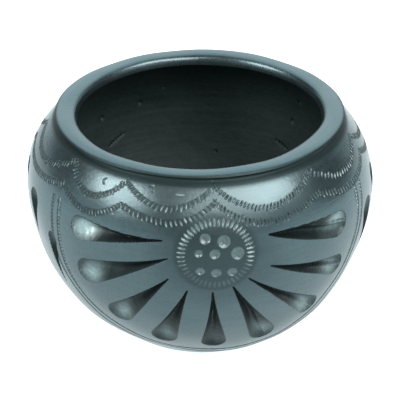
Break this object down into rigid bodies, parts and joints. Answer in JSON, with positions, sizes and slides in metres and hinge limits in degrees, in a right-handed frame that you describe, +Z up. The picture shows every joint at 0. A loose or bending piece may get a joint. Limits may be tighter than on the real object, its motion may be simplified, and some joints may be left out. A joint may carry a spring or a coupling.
{
  "type": "barro negro pot",
  "caption": "Round burnished black clay pot with a rolled lip, a wide mouth, a flat foot, gouged flower petals and pressed stitch garlands.",
  "frame": {"origin": "centre of the flat foot, which is also the bottom centre of the whole pot", "axes": "+Z up through the mouth; the front flower faces 5 degrees to the +X side of -Y, and the back flower is half a turn round from it"},
  "size_m": [0.14, 0.14, 0.0964],
  "materials": {
    "burnished_clay": "burnished graphite-grey sheen outside, matte inside the mouth and in the gouged petals"
  },
  "bodies": {
    "root": {"base_dish": "burnished_clay", "lower_wall_coil": "burnished_clay", "belly_coil": "burnished_clay", "shoulder_coil": "burnished_clay", "rim_coil": "burnished_clay"}
  },
  "joints": []
}
